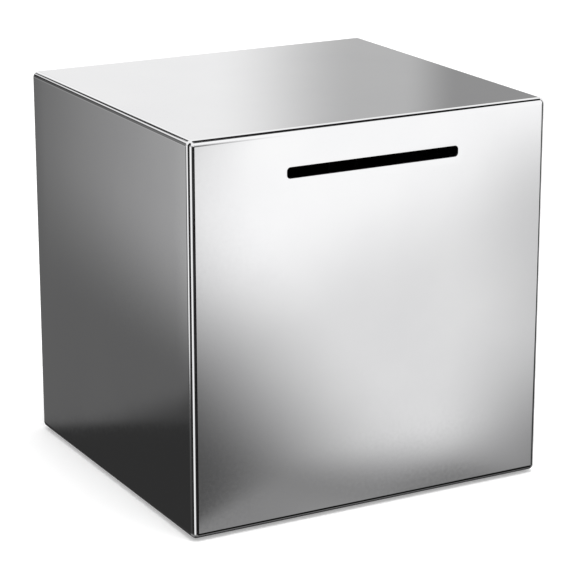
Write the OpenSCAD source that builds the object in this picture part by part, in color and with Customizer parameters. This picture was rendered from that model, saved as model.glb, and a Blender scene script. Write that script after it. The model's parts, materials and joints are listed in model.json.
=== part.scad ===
// Lockable steel money box: a polished sheet-metal cube with a coin slot in front
// and a hinged door with a cam lock in its recessed back.
// Origin at the middle of the base, on the surface the feet stand on.
// +Z is up, and -Y is the front with the coin slot.

/* [Body] */
// Width of the body, left to right
body_w = 150; // [130:1:200]
// Depth of the body, front to back
body_d = 140; // [110:1:200]
// Height of the steel body without its feet
body_h = 149.2; // [120:0.1:200]
// Thickness of the body's sheet steel
sheet_t = 1; // [0.8:0.1:1.5]
// Outside radius of every rounded edge and corner
edge_r = 2.4; // [2:0.1:6]
// How far the front and rear panels reach along the sides
flange_l = 12; // [9:0.5:20]

/* [Coin slot] */
// Length of the coin slot
slot_w = 72; // [40:1:100]
// Height of the coin slot
slot_h = 4.2; // [3:0.1:6]
// Radius of the coin slot's corners
slot_r = 1.4; // [0.5:0.1:1.4]
// Distance from the top face down to the middle of the slot
slot_drop = 16; // [12:0.1:30]

/* [Rear recess] */
// Width of the rim round the recess
rim_w = 8; // [7:0.5:12]
// Depth of the recess, from the rim to the ledge
recess_d = 5; // [5:0.1:6.5]
// Radius of the recess in its four corners
recess_r = 4; // [3:0.5:8]
// Inside radius of the bends round the recess
bend_r = 0.6; // [0.4:0.1:1]
// Width of the ledge that the door closes on
ledge_w = 10; // [9:0.5:12]
// How far the ledge reaches past the hinge pin
ledge_over = 4; // [3:0.1:5]

/* [Door] */
// Thickness of the door sheet
door_t = 1.2; // [1:0.1:1.5]
// Gap between the door's edge and the recess
door_gap = 1; // [0.6:0.1:2]
// Gap between the door's edge and the hinge knuckles
door_hinge_gap = 0.6; // [0.5:0.1:1]
// Radius of the door's corners
door_r = 3; // [1:0.5:6]

/* [Hinge] */
// Gap between each end of the hinge and the recess
hinge_end = 3.6; // [1:0.1:20]
// Number of knuckles, counting both leaves
knuckles = 11; // [5:2:15]
// Outside radius of a knuckle
knuckle_r = 2; // [1.8:0.05:2.2]
// Thickness of the leaves
leaf_t = 0.8; // [0.6:0.1:1]
// Width of each leaf, from the pin's axis
leaf_w = 12; // [11:0.5:14]
// Radius of the hinge pin
pin_r = 1; // [0.8:0.05:1.2]
// Distance from the pin's axis to the row of rivets
rivet_line = 8; // [7.5:0.1:8.5]
// Number of rivets in each leaf
rivets = 4; // [2:1:6]
// Radius of a rivet's shank
rivet_r = 1.5; // [1.2:0.1:1.6]
// Radius of a rivet's head
rivet_head_r = 3; // [2.4:0.1:3]
// Height of a rivet's head
rivet_head_h = 0.9; // [0.6:0.1:1.2]

/* [Lock] */
// Gap between the corners of the lock's nut and the ledge
lock_clear = 2; // [1.2:0.1:8]
// Radius of the lock's head
head_r = 10; // [9.5:0.1:12]
// Thickness of the lock's head
head_t = 2; // [1.6:0.1:2.2]
// Radius of the threaded barrel
barrel_r = 8; // [7.6:0.1:8.2]
// Length of the barrel below the head
barrel_l = 12; // [11:0.5:16]
// Half the width of the barrel across its flats
barrel_flat = 7; // [6.8:0.1:7.2]
// Radius of the turning plug
plug_r = 5.5; // [5.2:0.1:5.8]
// Width of the key slot
key_w = 1.8; // [1.4:0.1:2.2]
// Height of the key slot
key_h = 7; // [6:0.1:7.4]
// Size of the nut across its flats
nut_af = 19; // [18:0.5:22]
// Thickness of the nut
nut_t = 3; // [2:0.1:3.5]
// Thickness of the cam's steel
cam_t = 2; // [1.5:0.1:2.5]
// Width of the cam's arm
cam_w = 10; // [8:0.5:12]
// How far the cam's tip reaches behind the ledge
cam_catch = 9; // [5:0.5:12]
// Radius of the cam screw's shank
screw_r = 2; // [1.6:0.1:2.2]

/* [Feet] */
// Radius of a foot
foot_r = 6; // [4:0.5:8]
// Thickness of a foot
foot_h = 0.8; // [0.6:0.1:2]
// Distance from the body's side to the middle of a foot
foot_inset = 15; // [10:1:25]

/* [Hidden] */
$fn = 64;

// Colours
steel = "#c9cccf";
satin_steel = "#b4b7ba";
zinc = "#a3a6a9";
brass = "#c9a84a";
black_rubber = "#222222";

// Clearances
run_gap = 0.05;       // radial gap round a pin or plug that turns
knuckle_gap = 0.2;    // gap between neighbouring knuckles
knuckle_lift = 0.3;   // gap between the knuckles and the ledge
leaf_gap = 0.1;       // gap between the fixed leaf and the bend at the foot of the recess
notch_gap = 0.8;      // gap round a knuckle of the other leaf
hole_gap = 0.05;      // radial gap round a rivet
door_hole_gap = 0.15; // gap round the lock's barrel in the door
hub_gap = 0.2;        // gap between the barrel's end and the cam
arm_gap = 0.5;        // gap between the nut's corners and the cam's arm
cam_gap = 0.4;        // gap between the ledge and the cam's tip
past = 1;             // how far a cutting shape runs past a face

// Body
mid_z = foot_h + body_h / 2;
bend_out_r = bend_r + sheet_t;
recess_w = body_w - 2 * rim_w;
recess_h = body_h - 2 * rim_w;

// Rear of the box. Its z is 0 on the rim and points out of the back
ledge_z = -recess_d;
ledge_in_z = ledge_z - sheet_t;
hinge_x = -recess_w / 2 + bend_r + leaf_gap + leaf_w;
hinge_z = ledge_z + knuckle_lift + knuckle_r;
doorway_x0 = hinge_x + ledge_over;
doorway_x1 = recess_w / 2 - ledge_w;
doorway_h = recess_h - 2 * ledge_w;
door_in_z = ledge_z + leaf_t;
door_out_z = door_in_z + door_t;
door_x0 = hinge_x + knuckle_r + door_hinge_gap;
door_x1 = recess_w / 2 - door_gap;
door_w = door_x1 - door_x0;
door_h = recess_h - 2 * door_gap;
hinge_l = recess_h - 2 * hinge_end;
knuckle_pitch = hinge_l / knuckles;
rivet_pitch = hinge_l / rivets;
rivet_tail_r = 1.4 * rivet_r;
rivet_tail_h = 0.8;
bumper_r = 3.5;
bumper_gap = 1;
bumper_x = [hinge_x + leaf_w + bumper_gap + bumper_r, recess_w / 2 - ledge_w / 2];
bumper_y = (recess_h - ledge_w) / 2;

// Lock. Its z is 0 on the door's outer face and points out of the back
nut_corner_r = nut_af / 2 / cos(30);
lock_x = doorway_x1 - lock_clear - nut_corner_r;
head_bevel = 0.6;
flange_w = 1;
flange_r = plug_r + flange_w;
flange_t = 1;
stop_t = 1;
stop_room = 1.2;
stop_gap = 0.1;
stop_turn = 90;
stop_slack = 12;
stop_lug_w = 1.6;
stop_lug_edge = 0.5;
stop_lug_r = barrel_r - stop_lug_edge;
tail_w = 6;
plug_end_z = -barrel_l + stop_room;
stop_z = plug_end_z - stop_gap;
hub_z = -barrel_l - hub_gap;
hub_r = 7;
tail_end_z = hub_z - cam_t + stop_gap;
arm_y = nut_corner_r + arm_gap;
cam_reach = doorway_x1 - lock_x + cam_catch;
cam_tip_z = ledge_in_z - cam_gap - door_out_z;
lock_washer_t = 0.8;
lock_washer_edge = 0.8;
lock_washer_r = nut_af / 2 + lock_washer_edge;
washer_teeth = 12;
washer_notch = 1.6;
nut_z = -door_t - lock_washer_t;
cam_washer_t = 0.9;
cam_washer_z = hub_z - cam_t;
screw_head_z = cam_washer_z - cam_washer_t;
screw_head_r = 1.75 * screw_r;
screw_head_h = 2.4;
screw_l = 6;
screw_room = 0.4;
screw_slit = 0.5;
socket_af = 2.5;
socket_d = 1.4;
thread_gap = 0.03;

// Wafers and their springs
wafers = 4;
wafer_t = 1;
wafer_pitch = 1.8;
wafer_w = 6.4;
wafer_gap = 0.1;
wafer_z = -1.2;
wafer_shifts = [0.5, -0.3, 0.2, -0.6];
wafer_mid_z = wafer_z - (wafers - 1) * wafer_pitch / 2;
wafer_room = (wafers - 1) * wafer_pitch + wafer_t + 4 * wafer_gap;
barrel_wall = 1.2;
key_past = 1.2;
key_end_z = wafer_z - (wafers - 1) * wafer_pitch - key_past;
lug_w = 1.1;
lug_h = 1;
wire_r = 0.12;
coil_r = 0.38;
coil_turns = 4;
coil_steps = 10;
wire_sides = 6;
spring_l = 2.6;
spring_x = wafer_w / 2 + lug_w / 2;
spring_y = -1.2;

// Places the front of the box: z is 0 on the front face and points out of it
module facing_front() {
    translate([0, -body_d / 2, mid_z]) rotate([90, 0, 0]) children();
}

// Places the rear of the box: z is 0 on the rim and points out of the back, and y points down
module facing_rear() {
    translate([0, body_d / 2, mid_z]) rotate([-90, 0, 0]) children();
}

// Places the lock: z is 0 on the door's outer face
module at_lock() {
    facing_rear() translate([lock_x, 0, door_out_z]) children();
}

module rounded_rect(w, h, r) {
    square([w - 2 * r, h], center = true);
    square([w, h - 2 * r], center = true);
    for (x = [-1, 1], y = [-1, 1]) translate([x * (w / 2 - r), y * (h / 2 - r)]) circle(r);
}

module quarter_disc(r) {
    intersection() {
        circle(r);
        square(r);
    }
}

// A round outline with two flats, as on the lock's barrel
module double_d(r, flat) {
    intersection() {
        circle(r);
        square([2 * flat, 2 * r + past], center = true);
    }
}

module ring(outer, inner, h) {
    linear_extrude(h) difference() {
        circle(outer);
        circle(inner);
    }
}

// A block whose top face is at z = 0, with rounded top edges, rounded upright edges and ball corners
module rounded_block(w, h, r, depth) {
    translate([0, 0, -depth]) linear_extrude(depth - r) rounded_rect(w, h, r);
    translate([0, 0, -r]) {
        linear_extrude(r) square([w - 2 * r, h - 2 * r], center = true);
        for (side = [0:3]) {
            across = side % 2 == 0 ? w : h;
            along = side % 2 == 0 ? h : w;
            rotate(90 * side) translate([across / 2 - r, 0, 0]) {
                rotate([90, 0, 0]) linear_extrude(along - 2 * r, center = true) quarter_disc(r);
                translate([0, along / 2 - r, 0]) rotate_extrude(angle = 90) quarter_disc(r);
            }
        }
    }
}

// A sheet-metal tray with its face at z = 0 and its flanges behind it
module tray() {
    difference() {
        rounded_block(body_w, body_h, edge_r, flange_l);
        translate([0, 0, -sheet_t])
            rounded_block(body_w - 2 * sheet_t, body_h - 2 * sheet_t, edge_r - sheet_t, flange_l);
    }
}

module body_wrap() {
    color(steel) facing_rear() translate([0, 0, flange_l - body_d])
        linear_extrude(body_d - 2 * flange_l) difference() {
            rounded_rect(body_w, body_h, edge_r);
            rounded_rect(body_w - 2 * sheet_t, body_h - 2 * sheet_t, edge_r - sheet_t);
        }
}

module front_panel() {
    color(steel) facing_front() difference() {
        tray();
        translate([0, body_h / 2 - slot_drop, -sheet_t - past])
            linear_extrude(sheet_t + 2 * past) rounded_rect(slot_w, slot_h, slot_r);
    }
}

// The recess in outline, grown all round by a margin
module recess_outline(margin) {
    rounded_rect(recess_w + 2 * margin, recess_h + 2 * margin, recess_r + margin);
}

module quarter_bend() {
    difference() {
        quarter_disc(bend_out_r);
        circle(bend_r);
    }
}

// The section of the recess's wall with its two bends.
// Its x is 0 on the wall's visible face, and its y is 0 on the rim
module recess_section() {
    translate([bend_out_r, -bend_out_r]) rotate(90) quarter_bend();
    translate([0, ledge_z + bend_r]) square([sheet_t, recess_d - bend_out_r - bend_r]);
    translate([-bend_r, ledge_z + bend_r]) rotate(-90) quarter_bend();
}

// Carries a section round the recess
module round_recess() {
    for (side = [0:3]) {
        across = side % 2 == 0 ? recess_w : recess_h;
        along = side % 2 == 0 ? recess_h : recess_w;
        rotate(90 * side) {
            translate([across / 2, 0, 0]) rotate([90, 0, 0])
                linear_extrude(along - 2 * recess_r, center = true) children();
            translate([across / 2 - recess_r, along / 2 - recess_r, 0])
                rotate_extrude(angle = 90) translate([recess_r, 0]) children();
        }
    }
}

module rear_frame() {
    color(steel) facing_rear() difference() {
        union() {
            difference() {
                tray();
                translate([0, 0, -sheet_t - past])
                    linear_extrude(sheet_t + 2 * past) recess_outline(bend_out_r);
            }
            round_recess() recess_section();
            translate([0, 0, ledge_in_z]) linear_extrude(sheet_t) difference() {
                recess_outline(-bend_r);
                translate([doorway_x0, -doorway_h / 2]) square([doorway_x1 - doorway_x0, doorway_h]);
            }
        }
        rivet_row(-1) translate([0, 0, ledge_in_z - past])
            cylinder(r = rivet_r + hole_gap, h = sheet_t + 2 * past);
    }
}

module door_panel() {
    color(steel) facing_rear() difference() {
        translate([(door_x0 + door_x1) / 2, 0, door_in_z])
            linear_extrude(door_t) rounded_rect(door_w, door_h, door_r);
        translate([lock_x, 0, door_in_z - past]) linear_extrude(door_t + 2 * past)
            double_d(barrel_r + door_hole_gap, barrel_flat + door_hole_gap);
        rivet_row(1) translate([0, 0, door_in_z - past])
            cylinder(r = rivet_r + hole_gap, h = door_t + 2 * past);
    }
}

// Its children at each rivet's place: side is -1 for the frame's row and 1 for the door's
module rivet_row(side) {
    for (i = [0:rivets - 1])
        translate([hinge_x + side * rivet_line, (i - (rivets - 1) / 2) * rivet_pitch, 0]) children();
}

// Its children at every second knuckle's middle, from number first on
module knuckle_row(first) {
    for (i = [first:2:knuckles - 1])
        translate([hinge_x, (i + 0.5) * knuckle_pitch - hinge_l / 2, 0]) children();
}

// One leaf of the hinge: side is -1 for the frame's and 1 for the door's
module hinge_leaf(side) {
    own = side < 0 ? 0 : 1;
    difference() {
        union() {
            translate([hinge_x + (side < 0 ? -leaf_w : 0), -hinge_l / 2, ledge_z])
                cube([leaf_w, hinge_l, leaf_t]);
            knuckle_row(own) translate([0, 0, hinge_z]) rotate([90, 0, 0])
                cylinder(r = knuckle_r, h = knuckle_pitch - knuckle_gap, center = true);
        }
        knuckle_row(1 - own) translate([0, 0, ledge_z + leaf_t / 2])
            cube([2 * (knuckle_r + notch_gap), knuckle_pitch + knuckle_gap, leaf_t + past],
                 center = true);
        translate([hinge_x, 0, hinge_z]) rotate([90, 0, 0])
            cylinder(r = pin_r + run_gap, h = hinge_l + past, center = true);
        rivet_row(side) translate([0, 0, ledge_z - past])
            cylinder(r = rivet_r + hole_gap, h = leaf_t + 2 * past);
    }
}

module hinge_leaf_frame() {
    color(satin_steel) facing_rear() hinge_leaf(-1);
}

module hinge_leaf_door() {
    color(satin_steel) facing_rear() hinge_leaf(1);
}

module hinge_pin() {
    color(zinc) facing_rear() translate([hinge_x, 0, hinge_z]) rotate([90, 0, 0])
        cylinder(r = pin_r, h = hinge_l - knuckle_gap, center = true);
}

// A rivet with the underside of its head at z = 0
module rivet(grip) {
    dome_r = (rivet_head_r * rivet_head_r + rivet_head_h * rivet_head_h) / (2 * rivet_head_h);
    rotate_extrude() intersection() {
        translate([0, rivet_head_h - dome_r]) circle(dome_r);
        square([rivet_head_r + past, rivet_head_h + past]);
    }
    translate([0, 0, -grip]) cylinder(r = rivet_r, h = grip);
    translate([0, 0, -grip - rivet_tail_h]) cylinder(r = rivet_tail_r, h = rivet_tail_h);
}

module hinge_rivets_frame() {
    color(satin_steel) facing_rear() rivet_row(-1)
        translate([0, 0, ledge_z + leaf_t]) rivet(leaf_t + sheet_t);
}

module hinge_rivets_door() {
    color(satin_steel) facing_rear() rivet_row(1)
        translate([0, 0, door_out_z]) rivet(leaf_t + door_t);
}

module door_bumpers() {
    color(black_rubber) facing_rear() for (x = bumper_x, y = [-bumper_y, bumper_y])
        translate([x, y, ledge_z]) cylinder(r = bumper_r, h = leaf_t);
}

module lock_housing() {
    color(steel) at_lock() difference() {
        union() {
            cylinder(r = head_r, h = head_t - head_bevel);
            translate([0, 0, head_t - head_bevel])
                cylinder(r1 = head_r, r2 = head_r - head_bevel, h = head_bevel);
            translate([0, 0, -barrel_l]) linear_extrude(barrel_l) double_d(barrel_r, barrel_flat);
        }
        translate([0, 0, -barrel_l - past])
            cylinder(r = plug_r + run_gap, h = barrel_l + head_t + 2 * past);
        translate([0, 0, head_t - flange_t - run_gap])
            cylinder(r = flange_r + run_gap, h = flange_t + past);
        translate([0, 0, wafer_mid_z])
            cube([wafer_w + 4 * wafer_gap, 2 * (barrel_r - barrel_wall), wafer_room], center = true);
        rotate(-stop_slack) rotate_extrude(angle = stop_turn + 2 * stop_slack)
            translate([0, -barrel_l - past]) square([barrel_r + past, stop_room + past]);
    }
}

module lock_washer() {
    color(zinc) at_lock() translate([0, 0, nut_z]) linear_extrude(lock_washer_t) difference() {
        circle(lock_washer_r);
        circle(barrel_r + hole_gap);
        for (i = [0:washer_teeth - 1]) rotate((i + 0.5) * 360 / washer_teeth)
            translate([lock_washer_r, 0]) rotate(45) square(washer_notch, center = true);
    }
}

module lock_nut() {
    color(zinc) at_lock() translate([0, 0, nut_z - nut_t]) difference() {
        cylinder(r = nut_corner_r, h = nut_t, $fn = 6);
        translate([0, 0, -past]) cylinder(r = barrel_r + hole_gap, h = nut_t + 2 * past);
    }
}

module lock_plug() {
    color(steel) at_lock() difference() {
        union() {
            translate([0, 0, head_t - flange_t]) cylinder(r = flange_r, h = flange_t);
            translate([0, 0, plug_end_z]) cylinder(r = plug_r, h = head_t - flange_t - plug_end_z);
            translate([-tail_w / 2, -tail_w / 2, tail_end_z])
                cube([tail_w, tail_w, plug_end_z - tail_end_z]);
        }
        translate([-key_w / 2, -key_h / 2, key_end_z])
            cube([key_w, key_h, head_t - key_end_z + past]);
        each_wafer() {
            cube([wafer_w + 2 * wafer_gap, 2 * plug_r + past, wafer_t + wafer_gap], center = true);
            translate([0, spring_y - lug_h - 2 * wafer_gap, -(wafer_t + wafer_gap) / 2])
                cube([wafer_w / 2 + lug_w + wafer_gap,
                      lug_h + spring_l + 4 * wafer_gap,
                      wafer_t + wafer_gap]);
        }
        translate([0, 0, tail_end_z - past])
            cylinder(r = screw_r + thread_gap,
                     h = screw_head_z + screw_l + screw_room - tail_end_z + past);
    }
}

// Its children at each wafer's middle
module each_wafer() {
    for (i = [0:wafers - 1]) translate([0, 0, wafer_z - i * wafer_pitch]) children();
}

module lock_wafers() {
    color(brass) at_lock() for (i = [0:wafers - 1])
        translate([0, 0, wafer_z - i * wafer_pitch - wafer_t / 2])
        linear_extrude(wafer_t) difference() {
            union() {
                intersection() {
                    circle(plug_r - wafer_gap);
                    square([wafer_w, 2 * plug_r], center = true);
                }
                translate([0, spring_y - lug_h - wafer_gap]) square([wafer_w / 2 + lug_w, lug_h]);
            }
            translate([0, wafer_shifts[i]])
                square([key_w + 2 * wafer_gap, key_h + wafer_gap], center = true);
        }
}

// The corners of a round wire's section at one step of its coil, which climbs along y
function wire_ring(i) = [
    let (turn = 360 * i / coil_steps,
         rise = (spring_l - 2 * wire_r) * i / (coil_turns * coil_steps))
    for (k = [0:wire_sides - 1])
        let (a = 360 * k / wire_sides, r = coil_r + wire_r * cos(a))
        [r * cos(turn), rise + wire_r * (1 + sin(a)), r * sin(turn)]
];

module coil_spring() {
    steps = coil_turns * coil_steps;
    last = steps * wire_sides;
    points = [for (i = [0:steps]) each wire_ring(i)];
    skin = [
        for (i = [0:steps - 1], k = [0:wire_sides - 1])
            let (a = i * wire_sides + k, b = i * wire_sides + (k + 1) % wire_sides)
            each [[a, b, a + wire_sides], [b, b + wire_sides, a + wire_sides]]
    ];
    ends = [
        for (k = [1:wire_sides - 2])
            each [[0, k + 1, k], [last, last + k, last + k + 1]]
    ];
    polyhedron(points, concat(skin, ends));
}

module wafer_springs() {
    color(zinc) at_lock() each_wafer() translate([spring_x, spring_y, 0]) coil_spring();
}

module cam_stop() {
    color(zinc) at_lock() translate([0, 0, stop_z - stop_t]) linear_extrude(stop_t) difference() {
        union() {
            circle(plug_r - 2 * run_gap);
            translate([-stop_lug_w / 2, 0]) square([stop_lug_w, stop_lug_r]);
        }
        square(tail_w + 2 * run_gap, center = true);
    }
}

module lock_cam() {
    color(zinc) at_lock() difference() {
        union() {
            translate([0, 0, hub_z - cam_t]) linear_extrude(cam_t) {
                circle(hub_r);
                translate([-cam_w / 2, 0]) square([cam_w, arm_y + cam_t]);
            }
            translate([-cam_w / 2, arm_y, hub_z - cam_t])
                cube([cam_w, cam_t, cam_tip_z - hub_z + cam_t]);
            translate([0, 0, cam_tip_z - cam_t]) linear_extrude(cam_t) intersection() {
                translate([-cam_w / 2, arm_y]) square([cam_w, cam_reach - arm_y]);
                circle(cam_reach);
            }
        }
        translate([0, 0, hub_z])
            cube([tail_w + 2 * run_gap, tail_w + 2 * run_gap, 2 * cam_t + past], center = true);
    }
}

module cam_washer() {
    color(zinc) at_lock() translate([0, 0, screw_head_z]) difference() {
        ring(screw_head_r, screw_r + hole_gap, cam_washer_t);
        translate([0, -screw_slit / 2, -past])
            cube([screw_head_r + past, screw_slit, cam_washer_t + 2 * past]);
    }
}

module cam_screw() {
    color(zinc) at_lock() translate([0, 0, screw_head_z]) difference() {
        union() {
            translate([0, 0, -screw_head_h]) cylinder(r = screw_head_r, h = screw_head_h);
            cylinder(r = screw_r, h = screw_l);
        }
        translate([0, 0, -screw_head_h - past])
            cylinder(r = socket_af / 2 / cos(30), h = socket_d + past, $fn = 6);
    }
}

// A foot: side is -1 on the left, end is -1 in front
module foot(side, end) {
    color(black_rubber)
        translate([side * (body_w / 2 - foot_inset), end * (body_d / 2 - foot_inset), 0])
        cylinder(r = foot_r, h = foot_h);
}

module foot_front_left() { foot(-1, -1); }
module foot_front_right() { foot(1, -1); }
module foot_rear_left() { foot(-1, 1); }
module foot_rear_right() { foot(1, 1); }

body_wrap();
front_panel();
rear_frame();
door_panel();
hinge_leaf_frame();
hinge_leaf_door();
hinge_pin();
hinge_rivets_frame();
hinge_rivets_door();
door_bumpers();
lock_housing();
lock_washer();
lock_nut();
lock_plug();
lock_wafers();
wafer_springs();
cam_stop();
lock_cam();
cam_washer();
cam_screw();
foot_front_left();
foot_front_right();
foot_rear_left();
foot_rear_right();
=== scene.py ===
import json
import math

import bmesh
import bpy
from mathutils import Matrix, Vector


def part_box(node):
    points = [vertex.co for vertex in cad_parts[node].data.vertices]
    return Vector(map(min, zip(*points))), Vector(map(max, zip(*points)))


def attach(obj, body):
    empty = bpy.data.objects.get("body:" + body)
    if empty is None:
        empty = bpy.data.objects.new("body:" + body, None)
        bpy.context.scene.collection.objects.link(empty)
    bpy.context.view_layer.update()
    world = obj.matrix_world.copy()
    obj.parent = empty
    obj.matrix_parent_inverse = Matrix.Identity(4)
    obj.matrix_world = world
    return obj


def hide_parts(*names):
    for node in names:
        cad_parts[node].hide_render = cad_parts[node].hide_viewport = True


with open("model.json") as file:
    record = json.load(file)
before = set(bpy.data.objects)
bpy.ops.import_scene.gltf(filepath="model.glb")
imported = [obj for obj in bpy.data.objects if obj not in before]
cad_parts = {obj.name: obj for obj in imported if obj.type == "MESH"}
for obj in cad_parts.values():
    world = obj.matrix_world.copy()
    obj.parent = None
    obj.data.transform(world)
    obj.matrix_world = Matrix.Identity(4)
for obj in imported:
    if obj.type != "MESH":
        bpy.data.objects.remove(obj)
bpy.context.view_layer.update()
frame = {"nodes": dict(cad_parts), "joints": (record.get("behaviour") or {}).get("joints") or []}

# Shapes are worked out in millimetres and turned into metres when a piece is finished
mm = 0.001
fullTurn = 2 * math.pi


def boxOf(node):
    low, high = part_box(node)
    return low / mm, high / mm


def axisOf(joint):
    return Vector(next(j["pos_m"] for j in frame["joints"] if j["name"] == joint)) / mm


bodyLow, bodyHigh = boxOf("body_wrap")
midZ = (bodyLow.z + bodyHigh.z) / 2
hingeAxis = axisOf("door_hinge")
lockAxis = axisOf("lock_turn")
ledgeY = boxOf("hinge_leaf_frame")[0].y
print("frame read")


# The camera, fitted to the photograph's corners

cameraLook = {
    "place": (-0.4303, -0.7934, 0.3392),
    "yaw": 28.614,      # degrees from +Y towards +X
    "pitch": 16.736,    # degrees down
    "roll": -0.04,
    "lens": 148.98,     # millimetres
    "sensor": 36,
}


def makeCamera():
    data = bpy.data.cameras.new("camera")
    data.lens = cameraLook["lens"]
    data.sensor_width = cameraLook["sensor"]
    camera = bpy.data.objects.new("camera", data)
    bpy.context.scene.collection.objects.link(camera)
    camera.location = cameraLook["place"]
    turn = Matrix.Rotation(-math.radians(cameraLook["yaw"]), 4, "Z")
    tilt = Matrix.Rotation(math.radians(90 - cameraLook["pitch"]), 4, "X")
    roll = Matrix.Rotation(math.radians(cameraLook["roll"]), 4, "Z")
    camera.rotation_euler = (turn @ tilt @ roll).to_euler()
    bpy.context.scene.camera = camera


makeCamera()
bpy.context.scene.view_settings.view_transform = "Standard"
print("camera placed")


# Short ways to add and join nodes

def addNode(tree, kind, inputs=None, **settings):
    node = tree.nodes.new(kind)
    for key, value in settings.items():
        setattr(node, key, value)
    for key, value in (inputs or {}).items():
        if isinstance(value, bpy.types.NodeSocket):
            tree.links.new(value, node.inputs[key])
        else:
            node.inputs[key].default_value = value
    return node


def maths(tree, operation, *values, clamp=False):
    node = addNode(tree, "ShaderNodeMath", dict(enumerate(values)), operation=operation, use_clamp=clamp)
    return node.outputs[0]


# The studio: a white floor, and soft panels all round that the metal mirrors

# Each panel is a soft-edged patch of sky. Degrees: azimuth from +X towards +Y, elevation above
# the horizon, both to the panel's middle, then its half sizes and the width of its soft edges.
# "turn" tips the patch, "tone" is its brightness and "slope" its change for each degree.
studioPanels = [
    {"name": "ceiling", "at": (0, 80), "half": (181, 63), "soft": (1, 5), "tone": 1.15},
    {"name": "topCard", "at": (-7, 67.4), "half": (40, 14.2), "soft": (6, 2.2), "tone": 0.005},
    {"name": "groundHaze", "at": (-60, -66), "half": (50, 14), "soft": (14, 3), "tone": 0.17},
    {"name": "groundRight", "at": (10, -37), "half": (45, 10), "soft": (8, 4), "tone": 0.22},
    {"name": "groundLeft", "at": (-158, -48), "half": (72, 20), "soft": (8, 6), "tone": 0.26},
    # the slotted face
    {"name": "frontBox", "at": (-45, 10), "half": (30, 27.9), "soft": (3, 0.9),
     "tone": 0.93, "turn": 11},
    {"name": "frontGlow", "at": (-50, 24), "half": (36, 31.5), "soft": (3, 1.5),
     "tone": 1.22, "turn": 26},
    {"name": "frontDim", "at": (-52.2, -21), "half": (3.7, 7.6), "soft": (1.5, 1.6), "tone": 0.72},
    {"name": "frontRight", "at": (-49.8, -27), "half": (6, 7.9), "soft": (2.2, 1.7), "tone": 0.2},
    {"name": "frontCorner", "at": (-69.9, -28.9), "half": (12.4, 14), "soft": (2.6, 3),
     "tone": 0.10, "turn": 43},
    {"name": "frontFoot", "at": (-57, -37.5), "half": (24, 14.5), "soft": (6, 1.0), "tone": 0.005},
    {"name": "frontPost", "at": (-67.5, 8), "half": (4.2, 21), "soft": (1.4, 4), "tone": 0.45},
    {"name": "frontMiddle", "at": (-59.4, -23.2), "half": (3.2, 1.7), "soft": (1.2, 0.8), "tone": 0.34},
    {"name": "frontLow", "at": (-62.5, -23.2), "half": (1.7, 1.3), "soft": (0.9, 0.15),
     "tone": 0.30, "turn": 27},
    {"name": "frontLowRight", "at": (-55.6, -22.35), "half": (2.2, 1.25), "soft": (1.2, 0.3),
     "tone": 0.23},
    {"name": "blackCard", "at": (-89.35, -18), "half": (24.6, 22), "soft": (0.5, 5),
     "tone": 0.004, "turn": -2},
    {"name": "blackGleam", "at": (-92, -16), "half": (8, 20), "soft": (6, 5),
     "tone": 0.045, "slope": (0.0, 0.004)},
    # between the camera and the left
    {"name": "cornerCard", "at": (-155, 43), "half": (32, 23), "soft": (6, 6), "tone": 0.02},
    {"name": "overCamera", "at": (-131, -20), "half": (15.6, 20), "soft": (1.2, 5),
     "tone": 1.06, "slope": (-0.02, 0.012)},
    {"name": "leftCard", "at": (-168, -4), "half": (20, 34), "soft": (2.5, 8), "tone": 0.03},
    {"name": "leftWindow", "at": (160, -4), "half": (12, 14.6), "soft": (6, 1.2), "tone": 1.3},
    # the left face
    {"name": "backSoft", "at": (84, -8), "half": (18, 13), "soft": (4, 1.5),
     "tone": 0.85, "slope": (0.0, 0.055)},
    {"name": "backLeft", "at": (114, -2), "half": (15, 19), "soft": (4, 0.5), "tone": 0.135},
    {"name": "backLeftGlow", "at": (113, -9), "half": (9, 5.1), "soft": (1.5, 1.6),
     "tone": 0.225, "turn": -33, "slope": (0.07, 0.0)},
    {"name": "leftEave", "at": (117, 6), "half": (9, 8.5), "soft": (2, 2),
     "tone": 0.16, "slope": (0.03, 0.0)},
    {"name": "leftShade", "at": (117, -23.2), "half": (9, 3.9), "soft": (2, 0.4),
     "tone": 0.065, "turn": 14},
    {"name": "leftFloor", "at": (108, -29.45), "half": (26, 9.5), "soft": (4, 0.15), "tone": 0.035},
    {"name": "leftGround", "at": (124, -46), "half": (17, 16), "soft": (5, 2), "tone": 0.26},
    {"name": "leftBeam", "at": (92.5, 28), "half": (2.7, 13), "soft": (0.9, 3),
     "tone": 0.05, "turn": 67},
    # the top
    {"name": "rightWindow", "at": (20, -6), "half": (50, 20), "soft": (4, 6),
     "tone": 0.95, "slope": (-0.006, 0.02)},
    {"name": "backWall", "at": (64, 5), "half": (16, 10.5), "soft": (3, 1.2), "tone": 0.33},
    {"name": "backWindow", "at": (68, 5), "half": (10.1, 10.5), "soft": (0.7, 1.2), "tone": 0.54},
    {"name": "backRight", "at": (71.3, 5), "half": (9.8, 10.5), "soft": (1.9, 1.2), "tone": 1.0},
    {"name": "rightCard", "at": (-21, -8), "half": (16, 18), "soft": (1.1, 6), "tone": 0.005},
    {"name": "rightPost", "at": (-21, 32), "half": (9, 27), "soft": (2, 6), "tone": 0.02},
    {"name": "eaveCard", "at": (-41, 55.2), "half": (13, 5), "soft": (3, 1.5), "tone": 0.005},
]


studioLook = {
    "darkest": 0.005, "brightest": 1.3,     # no sloping panel goes past these
    "hazeFrom": -26.0, "hazeTo": 6.0,       # elevations between which the surroundings brighten
    "lowTone": 0.04, "highTone": 0.6,
}


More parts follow.
